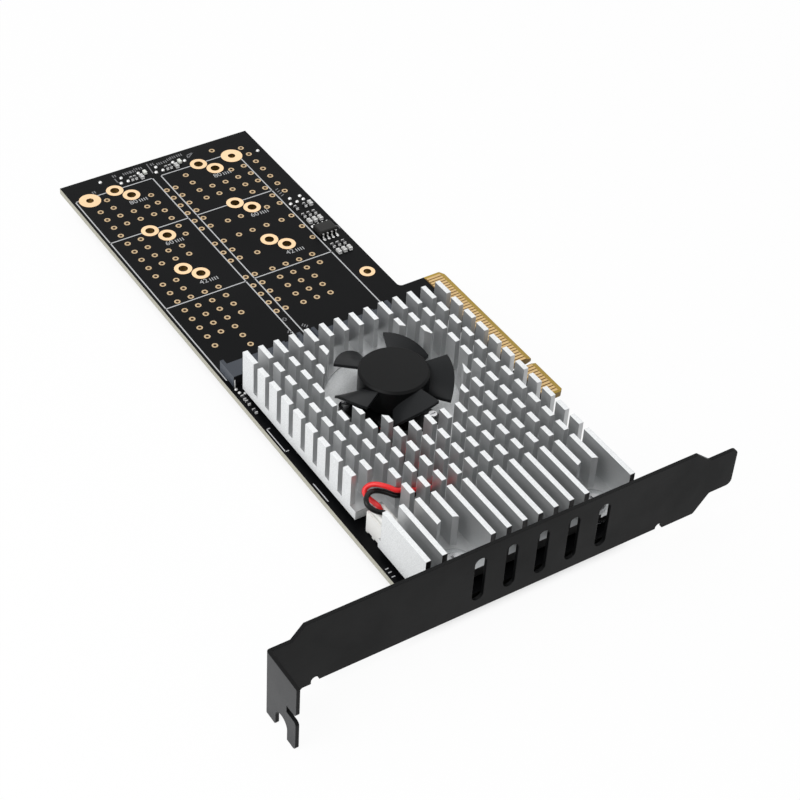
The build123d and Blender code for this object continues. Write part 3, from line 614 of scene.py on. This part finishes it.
node_finishes = {
    "circuit_board": board,
    "edge_contacts_component_side": gold, "edge_contacts_solder_side": gold,
    "standoff_rings": hole_gold, "corner_pads": hole_gold, "margin_ring": hole_gold,
    "heatsink": aluminium, "bracket_screws": steel, "heatsink_screws": steel, "fan_screws": steel,
    "switch_chip_substrate": substrate, "switch_chip_die": silicon, "thermal_pad": pad_grey,
    "fan_base": base_black, "fan_driver_board": substrate, "fan_stator": copper,
    "fan_bearing_sleeve": bronze, "fan_rotor": fan_black, "fan_magnet_ring": magnet, "fan_shaft": steel,
    "fan_header": nylon, "fan_header_pins": tin, "fan_plug": nylon,
    "fan_lead_red": red_cover, "fan_lead_black": black_cover,
    "bracket": paint, "memory_chip": package, "memory_chip_leads": tin, "indicator_lights": lamp_white,
    "power_inductors": ferrite, "power_regulators": package,
    "margin_resistors": film, "far_end_resistors": film,
    "margin_capacitors": pale_ceramic, "far_end_capacitors": pale_ceramic, "socket_capacitors": film,
    "back_capacitors": ceramic,
}
for side in ("left", "back_left", "right", "back_right"):
    node_finishes["drive_socket_" + side] = socket_plastic
    node_finishes["socket_tails_" + side] = tin
for name, material in node_finishes.items():
    nodes[name].material_slots[0].material = material


# Print on the board

def module_outlines():
    """Outlines of the two drives of the upper face, broken where they meet a plated hole."""
    far_y, middle_y, near_y = outline_rows_y
    lines = []
    for x, left_start_y in zip(drive_x, (first_side_start_y, outline_start_y)):
        left, right = x - outline_half, x + outline_half
        lines.append((left, left_start_y, left, far_y))
        lines.append((right, outline_start_y, right, far_y))
        for y in (far_y, middle_y):
            lines.append((left, y, x - hole_gap_half, y))
            lines.append((x + hole_gap_half, y, right, y))
        lines.append((left, near_y, right, near_y))
    return lines


def margin_print():
    """A line with a short return at each end, a plain line and three short strokes, on the margin to
    the left of the heatsink."""
    return [
        (-68.3, 10.0, -68.3, 1.4), (-68.3, 10.0, -67.5, 10.0), (-68.3, 1.4, -67.5, 1.4),
        (-68.2, -10.8, -68.2, -17.1),
        (-68.2, -41.0, -67.6, -41.0), (-68.2, -42.2, -67.6, -42.2), (-68.2, -43.6, -67.6, -43.6),
    ]


def ticks(x, y, count, along=(0.62, 0.0), stroke=(0.0, 0.75)):
    """A row of short strokes: stroke number i starts at the place plus i times the step along, and
    ends one stroke further."""
    steps = np.arange(count)[:, None] * np.asarray(along)
    start = np.array([x, y]) + steps
    return np.concatenate([start, start + stroke], 1)


def small_marks():
    """Rows of strokes, and corners, a line, a wedge and a small square, among the small parts."""
    far = [(-54.3, 115.6, 2), (-51.4, 115.2, 4), (-49.2, 115.2, 3), (-47.9, 115.7, 2), (-46.6, 115.5, 2),
           (-43.0, 115.6, 2), (-41.4, 115.0, 3), (-39.4, 115.0, 2), (-38.1, 115.5, 2), (-37.0, 115.8, 3),
           (-35.0, 115.9, 3), (-62.2, 111.6, 2)]
    rows = [ticks(*place) for place in far]
    rows += [ticks(-19.5, 89.9, 4, along=(0.0, -1.0), stroke=(0.7, 0.3)),
             ticks(-42.1, 38.2, 3, along=(0.35, -0.5), stroke=(0.5, 0.45)),
             ticks(-46.4, 37.6, 2, along=(0.5, -0.4), stroke=(0.4, 0.5))]
    rows.append(np.array([
        (-54.4, 114.7, -54.4, 112.9), (-54.4, 112.9, -53.8, 112.6),
        (-43.9, 116.7, -44.3, 112.4),
        (-32.6, 115.2, -30.6, 115.6), (-30.6, 115.6, -32.8, 113.9), (-32.6, 115.2, -32.8, 113.9),
        (-45.0, 42.9, -44.2, 42.9), (-44.2, 42.9, -44.2, 41.9), (-44.2, 41.9, -45.0, 41.9),
        (-45.0, 41.9, -45.0, 42.9),
        (-14.1, 68.8, -13.4, 68.8), (-13.4, 68.8, -13.4, 67.4),
    ]))
    return np.concatenate(rows)


def number_mesh(text, x, y):
    """Flat figures of the built-in type, as a filled mesh placed with its middle at x, y."""
    curve = bpy.data.curves.new("number " + text, "FONT")
    curve.body = text
    curve.size = number_height
    curve.align_x = "CENTER"
    curve.align_y = "CENTER"
    curve.extrude = ink / 2
    holder = placed("number " + text, curve)
    bpy.context.view_layer.update()
    mesh = bpy.data.meshes.new_from_object(holder.evaluated_get(bpy.context.evaluated_depsgraph_get()))
    mesh.transform(Matrix.Translation((x, y, ink / 2)))
    mesh.transform(Matrix.Scale(mm, 4))
    bpy.data.objects.remove(holder)
    return mesh


def size_numbers():
    """The plain drive lengths beside the holes, joined as one piece with flat faces."""
    joined = bmesh.new()
    for x in drive_x:
        for y, text in zip(number_rows_y, drive_sizes):
            joined.from_mesh(number_mesh(text, x + number_shift, y))
    mesh = bpy.data.meshes.new("size_numbers")
    joined.to_mesh(mesh)
    joined.free()
    mesh.shade_flat()
    mesh.materials.append(number_ink)
    made = placed("size_numbers", mesh)
    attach(made, "card")


def unit_strokes():
    """Four short upright strokes after each number."""
    after_number, below_middle, pitch, height = 1.75, 0.62, 0.66, 0.95
    first_x = np.array(drive_x) + number_shift + after_number
    rows = [ticks(x, y - below_middle, 4, along=(pitch, 0.0), stroke=(0.0, height))
            for x in first_x for y in number_rows_y]
    return np.concatenate(rows)


drive_and_margin_print = [strips(module_outlines(), outline_width), strips(margin_print(), margin_width)]
piece("board_print", join_arrays(drive_and_margin_print), white_ink)
piece("unit_strokes", strips(unit_strokes(), unit_width), number_ink)
piece("small_print", strips(small_marks(), mark_width), grey_ink)
size_numbers()


# Vias

def via_places():
    """Vias in columns along the drives, each column a run of rows at the via pitch, with the rows
    that the plated holes take left out, and the few that stand out of step."""
    columns = [
        (-64.2, 103.4, 17, ()), (-60.4, 107.3, 17, (4, 9)), (-56.45, 99.7, 17, (2, 3, 4, 7, 8, 9)),
        (-52.5, 99.8, 14, (2, 3, 4, 7, 8, 9)), (-49.3, 103.8, 6, ()), (-44.7, 103.7, 16, (6, 7, 10)),
        (-42.1, 103.7, 16, (6, 7, 10)), (-37.1, 107.3, 17, (4, 5, 6, 7, 8, 9, 11)),
        (-33.2, 99.7, 15, (2, 3, 5, 6, 7, 8, 9)), (-29.3, 99.6, 15, (2, 3, 4, 5, 6, 7, 8, 9)),
        (-25.3, 103.7, 13, (4, 6, 7, 8, 9, 10)), (-21.5, 103.6, 9, (6, 7)), (-17.6, 107.7, 6, ()),
    ]
    out_of_step = [(-25.6, 113.9), (-18.1, 111.2), (-37.1, 84.3), (-37.5, 77.7), (-33.5, 77.7), (-29.3, 77.8),
                   (-24.8, 77.8), (-21.6, 78.2), (-21.5, 67.6), (-42.2, 77.3), (-44.8, 77.3)]
    places = []
    for x, top, count, gaps in columns:
        rows = np.array([i for i in range(count) if i not in gaps])
        places.append(np.stack([np.full(len(rows), x), top - rows * via_pitch, 0.0 * rows], 1))
    places.append(np.array([(x, y, 0.0) for x, y in out_of_step]))
    return np.concatenate(places)


def vias():
    """Each via is a low ring around a sunken dark mouth, a disc of painted shade where the hole is, both
    turned from a profile of radius and height."""
    ring_profile = [(0.81, 0.0), (0.77, via_rise * 0.6), (0.68, via_rise), (0.43, via_rise), (0.39, 0.002)]
    mouth_profile = [(0.40, 0.012), (0.28, 0.008), (0.12, 0.006), (0.0001, 0.005)]
    places = via_places()
    rings = repeat(turned(ring_profile, 20), places)
    mouths = repeat(turned(mouth_profile, 12), places)
    piece("via_rings", on_both_faces(rings), via_gold, smooth=True)
    piece("via_mouths", on_both_faces(mouths), via_hole_painted_shade)


vias()


# Test points

def test_points():
    """Round tinned domes beside the small parts, in two groups of four, one of five and three alone."""
    group = np.array([(0.0, 112.1), (1.0, 114.2), (2.05, 112.1), (6.0, 114.0)])
    far = [group + (x, 0) for x in (-53.8, -43.45)]
    margin = np.array([(-18.3, 84.7), (-15.4, 84.5), (-19.3, 82.5), (-17.3, 82.6), (-15.3, 82.8)])
    alone = np.array([(-34.3, 113.2), (-58.5, 115.1), (-14.8, 107.8)])
    flat = np.concatenate(far + [margin, alone])
    bead = dome(radius=0.53, rise=0.48, rings=6, segments=16)
    return repeat(bead, np.concatenate([flat, np.zeros((len(flat), 1))], 1))


piece("test_points", test_points(), tin, smooth=True)


# Ends and solder of the small parts

def end_caps(low, high, share):
    """Two caps for each box, over a share of its length at both ends of its longer side, and a little
    proud of it on every side but the one on the board."""
    size = high - low
    along = np.where(size[:, 0] > size[:, 1], 0, 1)
    rows = np.arange(len(low))
    cap = size[rows, along] * share
    sideways = np.array([cap_proud, cap_proud, 0.0])
    caps = []
    for first_end in (True, False):
        cap_low, cap_high = low - sideways, high + cap_proud
        if first_end:
            cap_high[rows, along] = low[rows, along] + cap
        else:
            cap_low[rows, along] = high[rows, along] - cap
        caps.append(blocks(cap_low, cap_high))
    return join_arrays(caps)


def solder_fillets(low, high):
    """A wedge of solder against both ends of each box: its height falls from a share of the box's
    height with the square of the way still to go, down to a thin toe, and its cross-section is
    carried over the box's width."""
    size = high - low
    along = np.where(size[:, 0] > size[:, 1], 0, 1)
    rows = np.arange(len(low))
    way = np.linspace(0.0, 1.0, 5)
    slope = np.stack([way * fillet_reach, (1 - way) ** 2 * (1 - fillet_toe) + fillet_toe], 1)
    section = np.concatenate([[(0.0, 0.0)], slope])
    count = len(section)
    sides = ring_faces(2, count)
    ends = np.array([[0, 1, 2, 3], [0, 3, 4, 5]])
    faces = np.concatenate([sides[:, ::-1], ends, (ends + count)[:, ::-1]])
    made = []
    for sign in (-1.0, 1.0):
        outward = np.zeros((len(low), 3))
        outward[rows, along] = sign
        across = np.stack([-outward[:, 1], outward[:, 0], outward[:, 2]], 1)
        half_width = size[rows, 1 - along][:, None] / 2
        foot = (low + high) / 2 + outward * size[rows, along][:, None] / 2
        foot[:, 2] = low[:, 2]
        rise = size[:, 2:] * fillet_share
        points = np.zeros((len(low), 2, count, 3))
        for number, side in enumerate((-1.0, 1.0)):
            points[:, number] = (foot[:, None] + across[:, None] * (half_width * side)[:, None]
                                 + outward[:, None] * section[None, :, :1])
            points[:, number, :, 2] += rise * section[None, :, 1]
        made.append((points.reshape(-1, 3), copied_faces(faces, 2 * count, len(low))))
    return join_arrays(made)


def soldered_ends(name, node, cap_share):
    """Tinned ends and solder for every box of a node that stands on the upper face."""
    low, high = block_solids(node)
    piece(name, join_arrays([end_caps(low, high, cap_share), solder_fillets(low, high)]), tinned_ends)


for part, cap_share in (("margin_resistor", 0.14), ("margin_capacitor", 0.24), ("far_end_resistor", 0.14),
                        ("far_end_capacitor", 0.24), ("socket_capacitor", 0.16)):
    soldered_ends(part + "_ends", part + "s", cap_share)


def lead_solder():
    """A low mound of solder around each of the memory chip's eight feet, four to a side: an ellipse
    whose height falls with the square of the distance from its middle."""
    feet_low, feet_high = [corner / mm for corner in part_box("memory_chip_leads")]
    half_across, half_along, rise, from_tip = 0.36, 0.62, 0.2, 0.35
    x = middle_across("memory_chip") + np.array([-1.5, -0.5, 0.5, 1.5]) * memory_pitch
    distance = np.linspace(1.0, 0.001, 5)
    points, faces = turned(np.stack([distance, rise * (1 - distance ** 2)], 1), 14)
    mound = points * [half_across, half_along, 1.0], faces
    rows_y = (feet_low.y + from_tip, feet_high.y - from_tip)
    places = [np.stack([x, np.full(len(x), y), np.zeros(len(x))], 1) for y in rows_y]
    return repeat(mound, np.concatenate(places))


piece("memory_solder", lead_solder(), tin, smooth=True)


def socket_solder():
    """The end pin of the left socket's tails, and the round solder joints in a row before it."""
    pin = blocks([(-67.62, 26.15, 0.02)], [(-67.42, 26.4, 2.3)])
    joint = dome(radius=0.42, rise=0.34, rings=5, segments=14)
    places = [(-67.65, 25.5, 0.0), (-67.5, 24.1, 0.0), (-66.4, 23.3, 0.0)]
    return join_arrays([pin, repeat(joint, places)])


piece("socket_solder", socket_solder(), tinned_ends)


# Leads of the fan

def lead(name, route, node, cover):
    """A smooth lead through its given points: a quadratic spline with a round section."""
    curve = bpy.data.curves.new(name, "CURVE")
    curve.dimensions = "3D"
    curve.bevel_depth = lead_radius * mm
    curve.bevel_resolution = 3
    curve.use_fill_caps = True
    curve.resolution_u = 10
    line = curve.splines.new("NURBS")
    line.points.add(len(route) - 1)
    places = np.array(route) * mm
    line.points.foreach_set("co", np.column_stack([places, np.ones(len(places))]).ravel())
    line.order_u = 3
    line.use_endpoint_u = True
    line.use_smooth = True
    curve.materials.append(cover)
    made = placed(name, curve)
    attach(made, "card")
    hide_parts(node)


red_route = [
    (-47.75, -6.6, 4.76), (-47.75, -11, 4.76), (-47.36, -14.5, 4.76), (-47.34, -24, 4.76),
    (-47.36, -28.4, 5), (-47.75, -30.5, 6.1), (-50.3, -30.43, 6.75), (-54.1, -30.43, 7.95),
    (-57.4, -30.45, 9.7), (-59.3, -30.4, 10.3), (-60.45, -29.29, 10.9), (-61.4, -28.34, 11.1),
    (-62.39, -27.28, 11.1), (-63.49, -26.22, 10.6), (-64.68, -26.02, 9.8), (-65.11, -26.7, 9),
    (-64.65, -27.86, 8.4), (-64.14, -29.1, 8), (-63.55, -30.95, 7.7), (-63.55, -30.95, 5.4),
]
black_route = [
    (-48.25, -6.6, 6.0), (-48.3, -11.5, 6.0), (-48.66, -14.5, 6), (-48.68, -18, 4.85),
    (-48.7, -24, 4.76), (-48.64, -28.4, 4.76), (-49, -30.6, 4.85), (-51.2, -30.43, 5.45),
    (-54.1, -30.43, 6.6), (-57.5, -30.45, 8.2), (-59.4, -30.45, 8.75), (-60.56, -29.04, 9.1),
    (-61.66, -28.1, 9.35), (-63.29, -27.79, 10), (-65.05, -28.19, 10.5), (-66.53, -29.4, 10.5),
    (-66.99, -30.67, 10), (-66.33, -31.88, 9.2), (-64.92, -32.74, 8.4), (-63.55, -32.95, 8),
    (-63.55, -32.95, 5.4),
]
lead("red_lead", red_route, "fan_lead_red", red_cover)
lead("black_lead", black_route, "fan_lead_black", black_cover)


# Room and camera

plain_white = (1, 1, 1, 1)


def plain_light(name, place, aim, size, energy):
    """A square soft lamp at a place, turned to the aim point."""
    lamp = bpy.data.lights.new(name, "AREA")
    lamp.size = size
    lamp.energy = energy
    made = placed(name, lamp)
    made.location = place
    made.rotation_mode = "QUATERNION"
    made.rotation_quaternion = (Vector(aim) - Vector(place)).to_track_quat("-Z", "Y")


def seen_rays(tree):
    """A mask of the rays that show a surface itself: from the camera, off gloss or through glass."""
    rays = tree.nodes.new("ShaderNodeLightPath").outputs
    return either(tree, rays["Is Camera Ray"], rays["Is Glossy Ray"], rays["Is Transmission Ray"])


def mix_shaders(tree, share, first, second, output):
    """Two shaders mixed by a share, as the surface of the tree's output."""
    both = tree.nodes.new("ShaderNodeMixShader")
    for made, target in zip((share, first, second), both.inputs):
        tree.links.new(made, target)
    tree.links.new(both.outputs[0], tree.nodes[output].inputs["Surface"])


def white_surround():
    """A world that lights the card at a plain level, and is white where it is seen itself."""
    world = bpy.data.worlds.new("white surround")
    world.use_nodes = True
    tree = world.node_tree
    lit = add_node(tree, "ShaderNodeBackground", Strength=0.6, Color=plain_white)
    white = add_node(tree, "ShaderNodeBackground", Strength=1.0, Color=plain_white)
    mix_shaders(tree, seen_rays(tree), lit.outputs[0], white.outputs[0], "World Output")
    bpy.context.scene.world = world


def floor_finish():
    """Matt white that keeps the card's shadow: where the floor is seen itself, a white glow takes its
    place by how open the floor is there, up to almost all of it."""
    made = bpy.data.materials.new("floor white")
    made.use_nodes = True
    tree = made.node_tree
    matt = tree.nodes["Principled BSDF"]
    matt.inputs["Base Color"].default_value = (0.92, 0.92, 0.92, 1)
    matt.inputs["Roughness"].default_value = 0.9
    matt.inputs["Specular IOR Level"].default_value = 0.0
    glow = add_node(tree, "ShaderNodeEmission", Strength=1.0, Color=plain_white)
    cover = add_node(tree, "ShaderNodeAmbientOcclusion", samples=8, Distance=0.02)
    openness = add_node(tree, "ShaderNodeMapRange", From_Min=0.0, From_Max=0.3, To_Max=0.95)
    tree.links.new(cover.outputs["AO"], openness.inputs["Value"])
    share = calculated(tree, "MULTIPLY", seen_rays(tree), openness.outputs["Result"])
    mix_shaders(tree, share, matt.outputs[0], glow.outputs[0], "Material Output")
    return made


def floor():
    """A level square just under the lowest point of the card."""
    reach, clearance = 3.0, 0.0002
    height = cad_low.z - clearance
    mesh = bpy.data.meshes.new("floor")
    corners = [(x * reach, y * reach, height) for x, y in ((-1, -1), (1, -1), (1, 1), (-1, 1))]
    mesh.from_pydata(corners, [], [(0, 1, 2, 3)])
    mesh.materials.append(floor_finish())
    made = placed("floor", mesh)


def camera():
    """The photograph's camera: its place, its turn, and its focal length and centre in pixels."""
    photo_size = 800
    focal_pixels = 1996.4
    centre_pixels = (340.0, 450.0)
    turn = (46.890, -1.831, -31.461)
    lens = bpy.data.cameras.new("photo camera")
    lens.sensor_width = 36.0
    lens.lens = focal_pixels * lens.sensor_width / photo_size
    lens.shift_x = (photo_size / 2 - centre_pixels[0]) / photo_size
    lens.shift_y = (centre_pixels[1] - photo_size / 2) / photo_size
    lens.clip_start = 0.01
    made = placed("photo camera", lens)
    made.location = (-0.23904, -0.28237, 0.31078)
    made.rotation_euler = [math.radians(angle) for angle in turn]
    bpy.context.scene.camera = made


card_middle = (cad_low + cad_high) / 2
white_surround()
floor()
plain_light("key lamp", place=(-0.55, -0.05, 0.50), aim=card_middle, size=0.5, energy=2.8)
plain_light("top lamp", place=(0.26, 0.50, 0.55), aim=card_middle, size=0.6, energy=0.5)
camera()
bpy.context.scene.view_settings.view_transform = "Standard"
